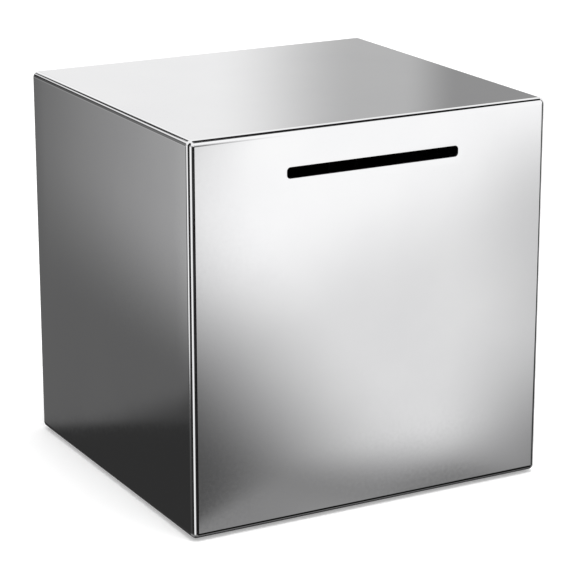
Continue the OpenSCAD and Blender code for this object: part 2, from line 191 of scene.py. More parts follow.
def panelGroup():
    # one soft patch laid over what is below it
    group = bpy.data.node_groups.new("softPanel", "ShaderNodeTree")
    names = ["below", "azimuth", "elevation", "atAzimuth", "atElevation", "halfAzimuth", "halfElevation",
             "softAzimuth", "softElevation", "turn", "tone", "slopeAzimuth", "slopeElevation"]
    for name in names:
        group.interface.new_socket(name, in_out="INPUT", socket_type="NodeSocketFloat")
    group.interface.new_socket("value", in_out="OUTPUT", socket_type="NodeSocketFloat")
    given = group.nodes.new("NodeGroupInput").outputs
    across = maths(group, "SUBTRACT", given["azimuth"], given["atAzimuth"])
    across = maths(group, "WRAP", across, 180.0, -180.0)
    up = maths(group, "SUBTRACT", given["elevation"], given["atElevation"])
    angle = maths(group, "RADIANS", given["turn"])
    cosine, sine = maths(group, "COSINE", angle), maths(group, "SINE", angle)
    along = maths(group, "MULTIPLY_ADD", across, cosine, maths(group, "MULTIPLY", up, sine))
    backwards = maths(group, "MULTIPLY", sine, -1.0)
    over = maths(group, "MULTIPLY_ADD", up, cosine, maths(group, "MULTIPLY", across, backwards))
    masks = []
    sides = ((along, "halfAzimuth", "softAzimuth"), (over, "halfElevation", "softElevation"))
    for value, half, soft in sides:
        node = addNode(group, "ShaderNodeMapRange", {
            "Value": maths(group, "ABSOLUTE", value),
            "From Min": maths(group, "SUBTRACT", given[half], given[soft]),
            "From Max": maths(group, "ADD", given[half], given[soft]),
            "To Min": 1.0, "To Max": 0.0}, interpolation_type="SMOOTHSTEP")
        masks.append(node.outputs[0])
    mask = maths(group, "MULTIPLY", *masks)
    tone = maths(group, "MULTIPLY_ADD", across, given["slopeAzimuth"], given["tone"])
    tone = maths(group, "MULTIPLY_ADD", up, given["slopeElevation"], tone)
    tone = maths(group, "MAXIMUM", tone, studioLook["darkest"])
    tone = maths(group, "MINIMUM", tone, studioLook["brightest"])
    mixed = addNode(group, "ShaderNodeMix", {0: mask, 2: given["below"], 3: tone}, data_type="FLOAT")
    out = group.nodes.new("NodeGroupOutput")
    group.links.new(mixed.outputs[0], out.inputs[0])
    return group


def makeWorld():
    world = bpy.data.worlds.new("studio")
    bpy.context.scene.world = world
    world.use_nodes = True
    tree = world.node_tree
    tree.nodes.clear()
    direction = addNode(tree, "ShaderNodeTexCoord").outputs["Generated"]
    parts = addNode(tree, "ShaderNodeSeparateXYZ", {0: direction}).outputs
    azimuth = maths(tree, "DEGREES", maths(tree, "ARCTAN2", parts["Y"], parts["X"]))
    elevation = maths(tree, "DEGREES", maths(tree, "ARCSINE", parts["Z"]))
    look = studioLook
    value = addNode(tree, "ShaderNodeMapRange", {
        "Value": elevation, "From Min": look["hazeFrom"], "From Max": look["hazeTo"],
        "To Min": look["lowTone"], "To Max": look["highTone"]}, interpolation_type="SMOOTHSTEP").outputs[0]
    group = panelGroup()
    for panel in studioPanels:
        slope = panel.get("slope", (0, 0))
        node = addNode(tree, "ShaderNodeGroup", node_tree=group, label=panel["name"])
        for key, number in {
            "atAzimuth": panel["at"][0], "atElevation": panel["at"][1],
            "halfAzimuth": panel["half"][0], "halfElevation": panel["half"][1],
            "softAzimuth": panel["soft"][0], "softElevation": panel["soft"][1],
            "turn": panel.get("turn", 0), "tone": panel["tone"],
            "slopeAzimuth": slope[0], "slopeElevation": slope[1],
        }.items():
            node.inputs[key].default_value = number
        tree.links.new(value, node.inputs["below"])
        tree.links.new(azimuth, node.inputs["azimuth"])
        tree.links.new(elevation, node.inputs["elevation"])
        value = node.outputs[0]
    rays = addNode(tree, "ShaderNodeLightPath").outputs
    plain = maths(tree, "MAXIMUM", rays["Is Camera Ray"], rays["Is Transmission Ray"])
    panels = addNode(tree, "ShaderNodeBackground", {"Color": value, "Strength": 1.0})
    white = addNode(tree, "ShaderNodeBackground", {"Color": (1, 1, 1, 1), "Strength": 1.0})
    mix = addNode(tree, "ShaderNodeMixShader", {0: plain, 1: panels.outputs[0], 2: white.outputs[0]})
    addNode(tree, "ShaderNodeOutputWorld", {"Surface": mix.outputs[0]})


floorLook = {"size": 14.0, "colour": 0.8, "glow": 0.27}


def makeFloor():
    bm = bmesh.new()
    bmesh.ops.create_grid(bm, x_segments=1, y_segments=1, size=floorLook["size"])
    mesh = bpy.data.meshes.new("floor")
    bm.to_mesh(mesh)
    bm.free()
    floor = bpy.data.objects.new("floor", mesh)
    bpy.context.scene.collection.objects.link(floor)
    material = bpy.data.materials.new("floorPaper")
    material.use_nodes = True
    tree = material.node_tree
    tree.nodes.clear()
    tone = floorLook["colour"]
    paper = addNode(tree, "ShaderNodeBsdfDiffuse", {"Color": (tone, tone, tone, 1)})
    rays = addNode(tree, "ShaderNodeLightPath").outputs
    seen = maths(tree, "MAXIMUM", rays["Is Camera Ray"],
                 maths(tree, "MAXIMUM", rays["Is Glossy Ray"], rays["Is Transmission Ray"]))
    strength = maths(tree, "MULTIPLY", seen, floorLook["glow"])
    glow = addNode(tree, "ShaderNodeEmission", {"Strength": strength})
    both = addNode(tree, "ShaderNodeAddShader", {0: paper.outputs[0], 1: glow.outputs[0]})
    addNode(tree, "ShaderNodeOutputMaterial", {"Surface": both.outputs[0]})
    mesh.materials.append(material)
    # the metal in the photo mirrors the studio's panels and not its floor
    floor.visible_glossy = False


lampLook = {"place": (0.1, -0.3, 1.6), "size": 1.0, "watts": 18.0}


def makeLamp():
    data = bpy.data.lights.new("softbox", "AREA")
    data.shape = "DISK"
    data.size = lampLook["size"]
    data.energy = lampLook["watts"]
    lamp = bpy.data.objects.new("softbox", data)
    bpy.context.scene.collection.objects.link(lamp)
    lamp.location = lampLook["place"]
    lamp.rotation_euler = (-Vector(lampLook["place"])).to_track_quat("-Z", "Y").to_euler()
    lamp.visible_glossy = False


makeWorld()
makeFloor()
makeLamp()
print("studio made")


# The finishes

grainReach = 0.0001     # metres that the bumps of fine grain reach
waveReach = 0.001
noiseLow, noiseHigh = 0.3, 0.7      # noise mostly stays between these
noiseRoughness = 0.55


def newMaterial(name):
    material = bpy.data.materials.new(name)
    material.use_nodes = True
    tree = material.node_tree
    shader = tree.nodes["Principled BSDF"]
    place = addNode(tree, "ShaderNodeTexCoord").outputs["Object"]
    return material, tree, shader, place


def noise(tree, place, scale, detail, stretch=(1, 1, 1)):
    spread = addNode(tree, "ShaderNodeMapping", {"Vector": place, "Scale": stretch}).outputs[0]
    node = addNode(tree, "ShaderNodeTexNoise", {
        "Vector": spread, "Scale": scale, "Detail": detail, "Roughness": noiseRoughness})
    return node.outputs["Fac"]


def ranged(tree, value, low, high):
    node = addNode(tree, "ShaderNodeMapRange", {
        "Value": value, "From Min": noiseLow, "From Max": noiseHigh, "To Min": low, "To Max": high})
    return node.outputs[0]


def blended(tree, factor, first, second):
    node = addNode(tree, "ShaderNodeMix", {0: factor, 6: (*first, 1), 7: (*second, 1)}, data_type="RGBA")
    return node.outputs[2]


def bumped(tree, height, strength, distance, normal=None):
    inputs = {"Height": height, "Strength": strength, "Distance": distance}
    if normal is not None:
        inputs["Normal"] = normal
    return addNode(tree, "ShaderNodeBump", inputs).outputs[0]


def metal(name, look):
    material, tree, shader, place = newMaterial(name)
    shader.inputs["Metallic"].default_value = 1.0
    cloud = noise(tree, place, look["cloudScale"], detail=4.0)
    grain = noise(tree, place, look["grainScale"], detail=2.0, stretch=look["grainStretch"])
    colour = blended(tree, ranged(tree, cloud, 0, 1), look["colour"], look["shade"])
    tree.links.new(colour, shader.inputs["Base Color"])
    wander = maths(tree, "MULTIPLY", ranged(tree, cloud, -1, 1), look["roughnessCloud"])
    streak = maths(tree, "MULTIPLY", ranged(tree, grain, -1, 1), look["roughnessGrain"])
    rough = maths(tree, "ADD", maths(tree, "ADD", wander, streak), look["roughness"], clamp=True)
    tree.links.new(rough, shader.inputs["Roughness"])
    wave = noise(tree, place, look["waveScale"], detail=1.0)
    normal = bumped(tree, grain, look["grainDepth"], grainReach)
    normal = bumped(tree, wave, look["waveDepth"], waveReach, normal)
    tree.links.new(normal, shader.inputs["Normal"])
    return material


polishedLook = {
    "colour": (0.78, 0.78, 0.785), "shade": (0.75, 0.75, 0.76), "roughness": 0.045,
    "roughnessCloud": 0.01, "roughnessGrain": 0.012, "cloudScale": 22.0,
    "grainScale": 700.0, "grainStretch": (1, 1, 1), "grainDepth": 0.003,
    "waveScale": 14.0, "waveDepth": 0.008,
}
rawLook = {
    "colour": (0.52, 0.525, 0.53), "shade": (0.46, 0.465, 0.47), "roughness": 0.38,
    "roughnessCloud": 0.05, "roughnessGrain": 0.05, "cloudScale": 40.0,
    "grainScale": 900.0, "grainStretch": (1, 1, 0.06), "grainDepth": 0.04,
    "waveScale": 30.0, "waveDepth": 0.04,
}
satinLook = dict(rawLook, colour=(0.62, 0.625, 0.63), shade=(0.55, 0.555, 0.56), roughness=0.28)
zincLook = {
    "colour": (0.60, 0.62, 0.64), "shade": (0.50, 0.52, 0.53), "roughness": 0.3,
    "roughnessCloud": 0.08, "roughnessGrain": 0.05, "cloudScale": 260.0,
    "grainScale": 2600.0, "grainStretch": (1, 1, 1), "grainDepth": 0.12,
    "waveScale": 160.0, "waveDepth": 0.06,
}
chromeLook = dict(zincLook, colour=(0.74, 0.75, 0.76), shade=(0.70, 0.71, 0.72), roughness=0.12,
                  roughnessCloud=0.04, roughnessGrain=0.03, grainDepth=0.04, waveDepth=0.03)
springLook = dict(zincLook, colour=(0.42, 0.43, 0.45), shade=(0.32, 0.33, 0.35), roughness=0.34)
brassLook = dict(zincLook, colour=(0.79, 0.64, 0.30), shade=(0.66, 0.50, 0.21), roughness=0.3)

polishedSteel = metal("polishedSteel", polishedLook)
rawSteel = metal("rawSteel", rawLook)
satinSteel = metal("satinSteel", satinLook)
zincPlate = metal("zincPlate", zincLook)
chromeCasting = metal("chromeCasting", chromeLook)
springWire = metal("springWire", springLook)
waferBrass = metal("waferBrass", brassLook)


def rubber(name, look):
    material, tree, shader, place = newMaterial(name)
    fine = noise(tree, place, look["fineScale"], detail=3.0)
    dust = noise(tree, place, look["dustScale"], detail=4.0)
    colour = blended(tree, ranged(tree, dust, 0, 1), look["colour"], look["dust"])
    rough = ranged(tree, fine, look["roughness"] - look["spread"], look["roughness"] + look["spread"])
    tree.links.new(colour, shader.inputs["Base Color"])
    tree.links.new(rough, shader.inputs["Roughness"])
    tree.links.new(bumped(tree, fine, look["depth"], grainReach), shader.inputs["Normal"])
    return material


footRubber = rubber("footRubber", {
    "colour": (0.02, 0.02, 0.021), "dust": (0.045, 0.044, 0.043), "roughness": 0.62, "spread": 0.08,
    "fineScale": 2400.0, "dustScale": 180.0, "depth": 0.4})
bumperSilicone = rubber("bumperSilicone", {
    "colour": (0.10, 0.10, 0.105), "dust": (0.15, 0.15, 0.15), "roughness": 0.5, "spread": 0.08,
    "fineScale": 1800.0, "dustScale": 260.0, "depth": 0.15})
print("finishes made")


# Shapes that several pieces start from

oneSpot = 1e-4          # millimetres: points closer than this become one
nearby = 0.01           # millimetres
flatFrom = 0.999        # share of its normal that a flat face has along its direction
insideFrom = -0.5       # the same along +Y, for faces that look into the box
sharpFrom = 35          # degrees between two faces
levelAngle = 0.01       # radians: two faces closer than this become one


def block(low, high):
    bm = bmesh.new()
    low, high = Vector(low), Vector(high)
    bmesh.ops.create_cube(bm, size=1)
    bmesh.ops.scale(bm, vec=high - low, verts=bm.verts)
    bmesh.ops.translate(bm, vec=(low + high) / 2, verts=bm.verts)
    bm.normal_update()
    return bm


def facing(bm, direction):
    bm.normal_update()
    return [f for f in bm.faces if f.normal.dot(Vector(direction)) > flatFrom]


def bevel(bm, geom, radius, segments, affect):
    return bmesh.ops.bevel(bm, geom=geom, offset=radius, offset_type="OFFSET", segments=segments,
                           profile=0.5, affect=affect, material=-1, clamp_overlap=False)["verts"]


def rounded(bm, edges, radius, segments):
    bevel(bm, edges, radius, segments, "EDGES")
    bm.normal_update()


def stood(bm, verts):
    # tips what lies flat until it faces along Y
    bmesh.ops.rotate(bm, cent=(0, 0, 0), matrix=Matrix.Rotation(math.radians(90), 3, "X"), verts=verts)


def facedOut(faces):
    # turns every face towards +Y
    for f in faces:
        f.normal_update()
        if f.normal.y < 0:
            f.normal_flip()


def sharpEdges(bm, near=lambda point: True, angle=60):
    bm.normal_update()
    return [e for e in bm.edges if len(e.link_faces) == 2 and e.calc_face_angle() > math.radians(angle)
            and near((e.verts[0].co + e.verts[1].co) / 2)]


def outlineFace(bm, centre, size, radius, y, segments):
    # a rounded rectangle that faces along Y
    made = bmesh.ops.create_grid(bm, x_segments=1, y_segments=1, size=0.5)["verts"]
    bmesh.ops.scale(bm, vec=(size[0], size[1], 1), verts=made)
    made = bevel(bm, made, radius, segments, "VERTICES")
    face = made[0].link_faces[0]
    bmesh.ops.remove_doubles(bm, verts=made, dist=oneSpot)
    corners = list(face.verts)
    stood(bm, corners)
    bmesh.ops.translate(bm, vec=(centre[0], y, centre[1]), verts=corners)
    return face


def opening(bm, centre, size, radius, y, ring, segments):
    # a hole with a ring of faces round it, for a later fill: returns the ring's outer edges
    grown = (size[0] + 2 * ring, size[1] + 2 * ring)
    face = outlineFace(bm, centre, grown, radius + ring, y, segments)
    sides = bmesh.ops.inset_region(bm, faces=[face], thickness=ring, depth=0, use_even_offset=True,
                                   use_boundary=True)["faces"]
    inner = set(face.verts)
    outer = [e for f in sides for e in f.edges if inner.isdisjoint(e.verts)]
    bmesh.ops.delete(bm, geom=[face], context="FACES_ONLY")
    return outer


def plate(bm, centre, size, radius, top, thickness, ring, segments, holes=()):
    # a flat plate that faces +Y, with rounded corners and holes
    face = outlineFace(bm, centre, size, radius, top, segments)
    old = set(bm.faces)
    bmesh.ops.inset_region(bm, faces=[face], thickness=ring, depth=0, use_even_offset=True, use_boundary=True)
    edges = list(face.edges)
    made = {f for f in bm.faces if f not in old}
    if holes:
        bmesh.ops.delete(bm, geom=[face], context="FACES_ONLY")
        for hole in holes:
            before = set(bm.faces)
            steps = hole.get("segments", segments)
            edges += opening(bm, hole["at"], hole["size"], hole["radius"], top, ring, steps)
            made |= {f for f in bm.faces if f not in before}
        before = set(bm.faces)
        bmesh.ops.triangle_fill(bm, use_beauty=True, use_dissolve=False, edges=edges)
        made |= {f for f in bm.faces if f not in before}
    else:
        made.add(face)
    made = [f for f in made if f.is_valid]
    facedOut(made)
    bmesh.ops.solidify(bm, geom=made, thickness=thickness)
    bm.normal_update()


def turned(bm, profile, centre, axis, steps):
    # spins (radius, height) points round an axis through the centre, heights along the axis
    axis = Vector(axis).normalized()
    side = axis.orthogonal().normalized()
    points = [bm.verts.new(Vector(centre) + side * r + axis * h) for r, h in profile]
    edges = [bm.edges.new(pair) for pair in zip(points, points[1:])]
    if profile[0][0] > 0:
        edges.append(bm.edges.new((points[-1], points[0])))
    before = set(bm.verts) - set(points)
    bmesh.ops.spin(bm, geom=points + edges, cent=centre, axis=axis, dvec=(0, 0, 0), angle=fullTurn,
                   steps=steps, use_merge=True, use_normal_flip=False, use_duplicate=False)
    made = [v for v in bm.verts if v not in before]
    bmesh.ops.remove_doubles(bm, verts=made, dist=oneSpot)
    faces = list({f for v in made if v.is_valid for f in v.link_faces})
    bmesh.ops.recalc_face_normals(bm, faces=faces)


def evenNormals(mesh):
    # flat faces stay flat beside their rounded edges; this is worked out while the mesh is in
    # millimetres, because small faces in metres are too tiny to be weighed
    holder = bpy.data.objects.new("holder", mesh)
    bpy.context.scene.collection.objects.link(holder)
    weighing = holder.modifiers.new("weighing", "WEIGHTED_NORMAL")
    weighing.mode = "FACE_AREA"
    weighing.weight = 50
    weighing.keep_sharp = True
    graph = bpy.context.evaluated_depsgraph_get()
    weighed = bpy.data.meshes.new_from_object(holder.evaluated_get(graph), preserve_all_data_layers=True,
                                              depsgraph=graph)
    bpy.data.objects.remove(holder)
    bpy.data.meshes.remove(mesh)
    weighed.transform(Matrix.Scale(mm, 4))
    return weighed


def finishPiece(name, bm, body, finishes, replaced):
    bmesh.ops.remove_doubles(bm, verts=bm.verts, dist=oneSpot)
    bmesh.ops.recalc_face_normals(bm, faces=bm.faces)
    for face in bm.faces:
        face.smooth = True
    for edge in bm.edges:
        edge.smooth = len(edge.link_faces) == 2 and edge.calc_face_angle() < math.radians(sharpFrom)
    mesh = bpy.data.meshes.new(name)
    bm.to_mesh(mesh)
    bm.free()
    for finish in finishes:
        mesh.materials.append(finish)
    piece = bpy.data.objects.new(name, evenNormals(mesh))
    piece.data.name = name
    bpy.context.scene.collection.objects.link(piece)
    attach(piece, body)
    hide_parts(*replaced)


# The shell: a wrap of four sides, a front tray with the coin slot, a rear frame

shellLook = {"sheet": 1.0, "edgeRadius": 2.4, "edgeSteps": 10}      # the same for all three


def foldEdges(bm, ends):
    # rounds every edge apart from those of the open ends
    ring = {e for f in ends for e in f.edges}
    folds = [e for e in bm.edges if e not in ring]
    rounded(bm, folds, shellLook["edgeRadius"], shellLook["edgeSteps"])


def addInside(bm):
    # gives the skin its thickness: the new faces are the raw inside of the sheet
    outside = set(bm.faces)
    bmesh.ops.solidify(bm, geom=list(bm.faces), thickness=shellLook["sheet"])
    bm.normal_update()
    for face in bm.faces:
        if face not in outside:
            face.material_index = 1


def makeBodyWrap():
    bm = block(bodyLow, bodyHigh)
    foldEdges(bm, facing(bm, (0, 1, 0)) + facing(bm, (0, -1, 0)))
    bmesh.ops.delete(bm, geom=facing(bm, (0, 1, 0)) + facing(bm, (0, -1, 0)), context="FACES_ONLY")
    addInside(bm)
    finishPiece("bodyWrap", bm, "box", (polishedSteel, rawSteel), ["body_wrap"])


slotLook = {
    "size": (72.0, 4.2), "radius": 1.4, "drop": 16.0, "steps": 12, "ring": 3.0,
    "lip": 0.06, "lipSteps": 2, "lipReach": 0.5,
}


def makeFrontPanel():
    look = slotLook
    low, high = boxOf("front_panel")
    bm = block(low, high)
    foldEdges(bm, facing(bm, (0, 1, 0)))
    front = facing(bm, (0, -1, 0))[0]
    edges = list(front.edges)
    bmesh.ops.delete(bm, geom=facing(bm, (0, 1, 0)) + [front], context="FACES_ONLY")
    slotZ = high.z - look["drop"]
    edges += opening(bm, (0, slotZ), look["size"], look["radius"], low.y, look["ring"], look["steps"])
    bmesh.ops.triangle_fill(bm, use_beauty=True, use_dissolve=False, edges=edges)
    bmesh.ops.recalc_face_normals(bm, faces=bm.faces)
    addInside(bm)
    reachX, reachZ = (side / 2 + look["lipReach"] for side in look["size"])
    lip = sharpEdges(bm, lambda p: abs(p.x) < reachX and abs(p.z - slotZ) < reachZ)
    rounded(bm, lip, look["lip"], look["lipSteps"])
    finishPiece("frontPanel", bm, "box", (polishedSteel, rawSteel), ["front_panel"])


rearLook = {
    "rim": 8.0, "recessReach": 7.9, "recessRadius": 4.0, "recessSteps": 8,
    "mouthRadius": 1.6, "mouthSteps": 6, "footRadius": 0.6, "footSteps": 4,
    "ledge": 10.0, "ledgeOver": 4.0,
}


def makeRearFrame():
    look = rearLook
    low, high = boxOf("rear_frame")
    bm = block((low.x, bodyHigh.y, low.z), high)
    foldEdges(bm, facing(bm, (0, -1, 0)))
    back = facing(bm, (0, 1, 0))[0]
    inset = look["rim"] - shellLook["edgeRadius"]
    bmesh.ops.inset_region(bm, faces=[back], thickness=inset, depth=0, use_even_offset=True)
    pushed = bmesh.ops.extrude_face_region(bm, geom=[back])["geom"]
    bmesh.ops.delete(bm, geom=[back], context="FACES_ONLY")
    corners = [v for v in pushed if isinstance(v, bmesh.types.BMVert)]
    bmesh.ops.translate(bm, vec=(0, ledgeY - high.y, 0), verts=corners)
    bm.normal_update()
    ledge = next(f for f in pushed if isinstance(f, bmesh.types.BMFace))
    bmesh.ops.inset_region(bm, faces=[ledge], thickness=look["ledge"], depth=0, use_even_offset=True)
    left = [v for v in ledge.verts if v.co.x < 0]
    shift = hingeAxis.x + look["ledgeOver"] - left[0].co.x
    bmesh.ops.translate(bm, vec=(shift, 0, 0), verts=left)
    bmesh.ops.delete(bm, geom=[ledge] + facing(bm, (0, -1, 0)), context="FACES_ONLY")
    reachX = high.x - look["recessReach"]
    reachZ = (high.z - low.z) / 2 - look["recessReach"]

    def inRecess(point):
        return abs(point.x) < reachX and abs(point.z - midZ) < reachZ

    def edgesWhere(test):
        return [e for e in bm.edges if all(inRecess(v.co) and test(v.co) for v in e.verts)]

    depths = [e for e in bm.edges if all(inRecess(v.co) for v in e.verts)
              and abs(e.verts[0].co.y - e.verts[1].co.y) > 1]
    rounded(bm, depths, look["recessRadius"], look["recessSteps"])
    mouth = edgesWhere(lambda p: p.y > high.y - nearby)
    rounded(bm, mouth, look["mouthRadius"], look["mouthSteps"])
    foot = [e for e in edgesWhere(lambda p: p.y < ledgeY + nearby)
            if len(e.link_faces) == 2 and e.calc_face_angle() > 1]
    rounded(bm, foot, look["footRadius"], look["footSteps"])
    bmesh.ops.recalc_face_normals(bm, faces=bm.faces)
    addInside(bm)
    finishPiece("rearFrame", bm, "box", (polishedSteel, rawSteel), ["rear_frame"])


makeBodyWrap()
makeFrontPanel()
makeRearFrame()
print("shell made")


# The door

doorLook = {
    "cornerRadius": 3.0, "cornerSteps": 8, "cornerReach": 3.5, "edge": 0.25, "edgeSteps": 3,
    "ring": 1.0, "barrelFlat": 7.15, "barrelRadius": 8.15, "barrelReach": 8.65,
}


def makeDoor():
    look = doorLook
    low, high = boxOf("door_panel")
    size = (high.x - low.x, high.z - low.z)
    centre = ((low.x + high.x) / 2, (low.z + high.z) / 2)
    bm = bmesh.new()
    bore = look["barrelRadius"]
    hole = {"at": (lockAxis.x, lockAxis.z), "size": (2 * bore, 2 * bore), "radius": bore}
    plate(bm, centre, size, look["cornerRadius"], high.y, high.y - low.y,
          look["ring"], look["cornerSteps"], [hole])
    around = [v for v in bm.verts
              if math.hypot(v.co.x - lockAxis.x, v.co.z - lockAxis.z) < look["barrelReach"]]
    for v in around:
        offset = v.co.x - lockAxis.x
        v.co.x = lockAxis.x + max(-look["barrelFlat"], min(look["barrelFlat"], offset))
    reachX, reachZ = (side / 2 - look["cornerReach"] for side in size)
    rim = sharpEdges(bm, lambda p: abs(p.x - centre[0]) > reachX or abs(p.z - centre[1]) > reachZ)
    rounded(bm, rim, look["edge"], look["edgeSteps"])
    bm.normal_update()
    for face in bm.faces:
        if face.normal.y < insideFrom:
            face.material_index = 1
    finishPiece("doorPanel", bm, "door", (polishedSteel, rawSteel), ["door_panel"])


makeDoor()
print("door made")


# The hinge

leafLook = {
    "knuckles": 11, "radius": 2.0, "bore": 1.05, "gap": 0.1, "leaf": 12.0, "sheet": 0.8, "notch": 2.8,
    "curlFrom": 229.0, "curlTurn": 345.0, "curlSteps": 40, "edge": 0.12, "edgeSteps": 2,
}
hingeLow, hingeHigh = boxOf("hinge_leaf_frame")
hingeLength = hingeHigh.z - hingeLow.z + 2 * leafLook["gap"]
hingeBase = midZ - hingeLength / 2
knucklePitch = hingeLength / leafLook["knuckles"]


def makeLeaf(name, side, body, node):
    # side is -1 for the frame's leaf and 1 for the door's
    look = leafLook
    own = 0 if side < 0 else 1
    rows = 2 * look["knuckles"] - 1
    columns = (hingeAxis.x + side * look["leaf"], hingeAxis.x + side * look["notch"], hingeAxis.x)
    bm = bmesh.new()
    bmesh.ops.create_grid(bm, x_segments=2, y_segments=rows, size=0.5)
    for v in bm.verts:
        column = columns[round(v.co.x * 2) + 1]
        line = round((v.co.y + 0.5) * rows)
        z = hingeBase + (line + 1) // 2 * knucklePitch + (look["gap"] if line % 2 == 0 else -look["gap"])
        v.co = (column, ledgeY + look["sheet"], z)
    cut = []
    for f in bm.faces:
        middle = f.calc_center_median()
        row = (middle.z - hingeBase) / knucklePitch
        gapRow = abs(row - round(row)) < nearby
        if abs(middle.x - hingeAxis.x) < look["notch"] and (gapRow or int(row) % 2 != own):
            cut.append(f)
    bmesh.ops.delete(bm, geom=cut, context="FACES")
    bmesh.ops.dissolve_limit(bm, angle_limit=levelAngle, verts=bm.verts, edges=bm.edges)
    facedOut(bm.faces)
    bmesh.ops.solidify(bm, geom=list(bm.faces), thickness=look["sheet"])
    rounded(bm, sharpEdges(bm), look["edge"], look["edgeSteps"])
    for i in range(own, look["knuckles"], 2):
        addKnuckle(bm, side, hingeBase + (i + 0.5) * knucklePitch)
    finishPiece(name, bm, body, (satinSteel,), [node])


def addKnuckle(bm, side, z):
    # the leaf's edge, rolled round the pin and stopping just short of the leaf again
    look = leafLook
    wall = look["radius"] - look["bore"]
    made = bmesh.ops.create_grid(bm, x_segments=1, y_segments=1, size=0.5)["verts"]
    bmesh.ops.scale(bm, vec=(wall, knucklePitch - 2 * look["gap"], 1), verts=made)
    outer = [v for v in made if v.co.x > 0]
    corners = set(made) - set(outer)
    bevelled = bevel(bm, outer, look["edge"], look["edgeSteps"], "VERTICES")
    made = list({v for v in bevelled if v.is_valid} | corners)
    stood(bm, made)
    bmesh.ops.translate(bm, vec=(look["bore"] + wall / 2, 0, 0), verts=made)
    start = look["curlFrom"] if side < 0 else 180 - look["curlFrom"]
    bmesh.ops.rotate(bm, cent=(0, 0, 0), matrix=Matrix.Rotation(math.radians(start), 3, "Z"), verts=made)
    centre = Vector((hingeAxis.x, hingeAxis.y, z))
    bmesh.ops.translate(bm, vec=centre, verts=made)
    geom = made + list({e for v in made for e in v.link_edges})
    geom += list({f for v in made for f in v.link_faces})
    bmesh.ops.spin(bm, geom=geom, cent=centre, axis=(0, 0, 1), dvec=(0, 0, 0),
                   angle=-side * math.radians(look["curlTurn"]), steps=look["curlSteps"],
                   use_merge=False, use_normal_flip=False, use_duplicate=False)


rivetLook = {
    "line": 8.0, "count": 4, "steps": 32, "shank": 1.5,
    "headRadius": 3.0, "headHeight": 0.9, "domeSteps": 8,
    # radius and height of the points that round off the head and the tail
    "headRim": ((2.97, 0.09), (3.0, 0.03), (2.95, 0)),
    "tailRim": ((1.95, 0), (2.1, -0.2), (2.0, -0.6), (1.7, -0.8), (0.5, -0.65), (0, -0.55)),
}


def rivetProfile(grip):
    look = rivetLook
    headRadius, headHeight = look["headRadius"], look["headHeight"]
    domeRadius = (headRadius ** 2 + headHeight ** 2) / (2 * headHeight)
    spread = math.asin(headRadius / domeRadius)
    dome = []
    for i in range(look["domeSteps"]):
        angle = spread * i / look["domeSteps"]
        dome.append((domeRadius * math.sin(angle), headHeight - domeRadius * (1 - math.cos(angle))))
    shank = [(look["shank"], 0), (look["shank"], -grip)]
    tail = [(radius, height - grip) for radius, height in look["tailRim"]]
    return dome + list(look["headRim"]) + shank + tail


def makeRivets(name, side, body, node, seat, grip):
    look = rivetLook
    bm = bmesh.new()
    pitch = hingeLength / look["count"]
    for i in range(look["count"]):
        z = midZ + (i - (look["count"] - 1) / 2) * pitch
        at = (hingeAxis.x + side * look["line"], seat, z)
        turned(bm, rivetProfile(grip), at, (0, 1, 0), look["steps"])
    finishPiece(name, bm, body, (satinSteel,), [node])


doorLow, doorHigh = boxOf("door_panel")
makeLeaf("hingeLeafFrame", -1, "box", "hinge_leaf_frame")
makeLeaf("hingeLeafDoor", 1, "door", "hinge_leaf_door")
frameGrip = leafLook["sheet"] + shellLook["sheet"]
doorGrip = leafLook["sheet"] + doorHigh.y - doorLow.y
makeRivets("hingeRivetsFrame", -1, "box", "hinge_rivets_frame", ledgeY + leafLook["sheet"], frameGrip)
makeRivets("hingeRivetsDoor", 1, "door", "hinge_rivets_door", doorHigh.y, doorGrip)
print("hinge made")


# The door's bumpers and the feet

# each rim's points: how far beyond the radius, and how high above the flat face
bumperLook = {
    "radius": 3.5, "steps": 32,
    "rim": ((-1.1, 0), (-0.5, -0.1), (-0.15, -0.3), (0, -0.55)),
}
footLook = {
    "radius": 6.0, "steps": 48, "hollow": 0.12,
    "rim": ((0, 0.25), (-0.1, 0.08), (-0.3, 0), (-1.6, 0), (-1.8, 0.12)),
}


def makeBumpers():
    low, high = boxOf("door_bumpers")
    r = bumperLook["radius"]
    thick = high.y - low.y
    rim = [(r + out, thick + up) for out, up in bumperLook["rim"]]
    profile = [(0, thick)] + rim + [(r, 0), (0, 0)]
    bm = bmesh.new()
    for x in (low.x + r, high.x - r):
        for z in (low.z + r, high.z - r):
            turned(bm, profile, (x, low.y, z), (0, 1, 0), bumperLook["steps"])
    finishPiece("doorBumpers", bm, "box", (bumperSilicone,), ["door_bumpers"])


def makeFoot(name, node):
    low, high = boxOf(node)
    r = footLook["radius"]
    thick = high.z - low.z
    rim = [(r + out, up) for out, up in footLook["rim"]]
    profile = [(0, thick), (r, thick)] + rim + [(0, footLook["hollow"])]
    centre = ((low.x + high.x) / 2, (low.y + high.y) / 2, low.z)
    bm = bmesh.new()
    turned(bm, profile, centre, (0, 0, 1), footLook["steps"])
    finishPiece(name, bm, "box", (footRubber,), [node])


makeBumpers()
for end in ("front", "rear"):
    for side in ("left", "right"):
        makeFoot("foot" + end.capitalize() + side.capitalize(), "foot_" + end + "_" + side)
print("bumpers and feet made")


# The lock

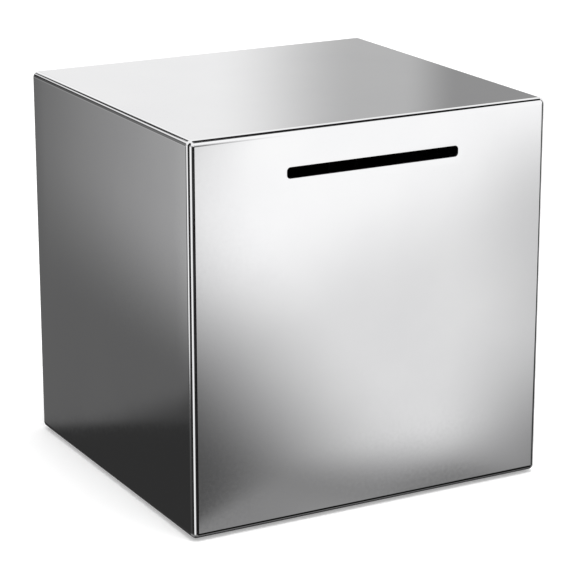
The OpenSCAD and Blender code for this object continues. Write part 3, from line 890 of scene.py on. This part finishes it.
housingLook = {
    # the head's points from the bore round to the outer edge: radius, height above the door
    "head": (
        (5.55, 0), (5.55, 0.95), (6.55, 0.95), (6.55, 1.88), (6.67, 2.0), (9.3, 2.0),
        (9.45, 1.95), (9.92, 1.45), (10.0, 1.3), (10.0, 0.1), (9.9, 0)),
    "headSteps": 96, "bore": 5.55, "radius": 8.0, "flat": 7.0, "top": -0.5, "end": -12.0,
    "bevel": (0.3, 0.25), "steps": 64, "cutReach": 1e-5,
    "threadFrom": -0.7, "threadTurns": 13, "threadPitch": 0.8, "threadDepth": 0.42,
    "threadRise": 0.3, "threadCrest": 0.42,
}


def makeHousing():
    look = housingLook
    seat = (lockAxis.x, lockAxis.y, lockAxis.z)
    crest, root = look["radius"], look["radius"] - look["threadDepth"]
    bm = bmesh.new()
    barrel = [(look["bore"], look["end"]), (look["bore"], look["top"]), (root, look["top"])]
    for i in range(look["threadTurns"]):
        z = look["threadFrom"] - i * look["threadPitch"]
        barrel += [(root, z), (crest, z - look["threadRise"]), (crest, z - look["threadCrest"])]
    across, along = look["bevel"]
    barrel += [(root, look["end"] + along), (root - across, look["end"])]
    turned(bm, barrel, seat, (0, 1, 0), look["steps"])
    for side in (-1, 1):
        cut = bmesh.ops.bisect_plane(bm, geom=bm.verts[:] + bm.edges[:] + bm.faces[:], dist=look["cutReach"],
                                     plane_co=(lockAxis.x + side * look["flat"], 0, 0), plane_no=(side, 0, 0),
                                     clear_outer=True, clear_inner=False)["geom_cut"]
        bmesh.ops.contextual_create(bm, geom=[e for e in cut if isinstance(e, bmesh.types.BMEdge)])
    turned(bm, look["head"], seat, (0, 1, 0), look["headSteps"])
    finishPiece("lockHousing", bm, "door", (chromeCasting,), ["lock_housing"])


plugLook = {
    # "front" is the height of its face above the door, "end" the depth below the door's face
    "front": 2.0, "end": 10.8, "radius": 5.5, "steps": 12, "ring": 0.3,
    "flange": 6.5, "flangeSheet": 1.0, "flangeSteps": 16, "edge": 0.1, "edgeSteps": 2,
    "key": (1.8, 7.0), "keyRadius": 0.35, "keySteps": 4, "keyDepth": 8.8,
    "tail": 6.0, "tailRadius": 0.4, "tailSteps": 3,
}


def makePlug():
    look = plugLook
    at, ring = (lockAxis.x, lockAxis.z), look["ring"]
    key = {"at": at, "size": look["key"], "radius": look["keyRadius"], "segments": look["keySteps"]}
    low = boxOf("lock_plug")[0].y
    face = lockAxis.y + look["front"]
    neck = face - look["flangeSheet"]
    keyEnd = neck - look["keyDepth"]
    end = lockAxis.y - look["end"]
    bm = bmesh.new()

    def disc(radius, steps, top, bottom, holes=()):
        plate(bm, at, (2 * radius, 2 * radius), radius, top, top - bottom, ring, steps, holes)

    disc(look["flange"], look["flangeSteps"], face, neck, [key])
    rounded(bm, sharpEdges(bm, lambda p: p.y > face - nearby), look["edge"], look["edgeSteps"])
    disc(look["radius"], look["steps"], neck, keyEnd, [key])
    disc(look["radius"], look["steps"], keyEnd, end)
    plate(bm, at, (look["tail"], look["tail"]), look["tailRadius"], end, end - low, ring, look["tailSteps"])
    finishPiece("lockPlug", bm, "lock_core", (chromeCasting,), ["lock_plug"])


nutLook = {
    "size": 19.0, "bore": 8.05, "ring": 0.4, "steps": 12, "inside": 8.85, "edge": 0.25, "edgeSteps": 2,
}


def makeNut():
    look = nutLook
    low, high = boxOf("lock_nut")
    bore = look["bore"]
    bm = bmesh.new()
    corner = look["size"] / 2 / math.cos(math.radians(30))
    made = bmesh.ops.create_circle(bm, cap_ends=False, segments=6, radius=corner)["verts"]
    stood(bm, made)
    bmesh.ops.translate(bm, vec=(lockAxis.x, high.y, lockAxis.z), verts=made)
    edges = list({e for v in made for e in v.link_edges})
    edges += opening(bm, (lockAxis.x, lockAxis.z), (2 * bore, 2 * bore), bore, high.y,
                     look["ring"], look["steps"])
    bmesh.ops.triangle_fill(bm, use_beauty=True, use_dissolve=False, edges=edges)
    facedOut(bm.faces)
    bmesh.ops.solidify(bm, geom=list(bm.faces), thickness=high.y - low.y)

    def outside(point):
        return math.hypot(point.x - lockAxis.x, point.z - lockAxis.z) > look["inside"]

    rounded(bm, sharpEdges(bm, outside, 50), look["edge"], look["edgeSteps"])
    finishPiece("lockNut", bm, "door", (zincPlate,), ["lock_nut"])


camLook = {
    "hub": 7.0, "hubSteps": 48, "width": 10.0, "sheet": 2.0, "edge": 0.25, "edgeSteps": 2,
    # how far below the lock's axis the arm's step begins and ends
    "stepFrom": -13.0, "stepTo": -12.5,
}


def makeCam():
    # a flat hub, then an arm that steps up to reach behind the ledge
    look = camLook
    low, high = boxOf("lock_cam")
    sheet, half = look["sheet"], look["width"] / 2
    hubTop = low.y + sheet
    bm = bmesh.new()
    made = bmesh.ops.create_circle(bm, cap_ends=True, segments=look["hubSteps"], radius=look["hub"])["verts"]
    stood(bm, made)
    lower = [e for v in made for e in v.link_edges if all(w.co.z < 0 and abs(w.co.x) < half for w in e.verts)]
    rise = high.y - hubTop
    bends = ((0, look["stepFrom"]), (rise, look["stepTo"]), (rise, low.z - lockAxis.z))
    for height, reach in bends:
        grown = bmesh.ops.extrude_edge_only(bm, edges=list(set(lower)))["geom"]
        verts = [v for v in grown if isinstance(v, bmesh.types.BMVert)]
        lower = [e for e in grown if isinstance(e, bmesh.types.BMEdge)]
        widest = max(abs(v.co.x) for v in verts)
        for v in verts:
            v.co = (v.co.x * half / widest, height, reach)
    bmesh.ops.translate(bm, vec=(lockAxis.x, hubTop, lockAxis.z), verts=bm.verts)
    bm.normal_update()
    bmesh.ops.recalc_face_normals(bm, faces=bm.faces)
    hub = max(bm.faces, key=lambda f: f.calc_area())
    if hub.normal.y < 0:
        bmesh.ops.reverse_faces(bm, faces=bm.faces)
    bmesh.ops.solidify(bm, geom=list(bm.faces), thickness=sheet)
    bmesh.ops.dissolve_limit(bm, angle_limit=levelAngle, verts=bm.verts, edges=bm.edges)
    rounded(bm, sharpEdges(bm, angle=40), look["edge"], look["edgeSteps"])
    finishPiece("lockCam", bm, "lock_core", (zincPlate,), ["lock_cam"])


makeHousing()
makePlug()
makeNut()
makeCam()

# These keep their CAD shape and take a finish
kept = {
    "hinge_pin": satinSteel, "lock_washer": zincPlate, "lock_wafers": waferBrass, "wafer_springs": springWire,
    "cam_stop": zincPlate, "cam_washer": zincPlate, "cam_screw": zincPlate,
}
for node, finish in kept.items():
    frame["nodes"][node].data.materials.clear()
    frame["nodes"][node].data.materials.append(finish)
print("lock made")
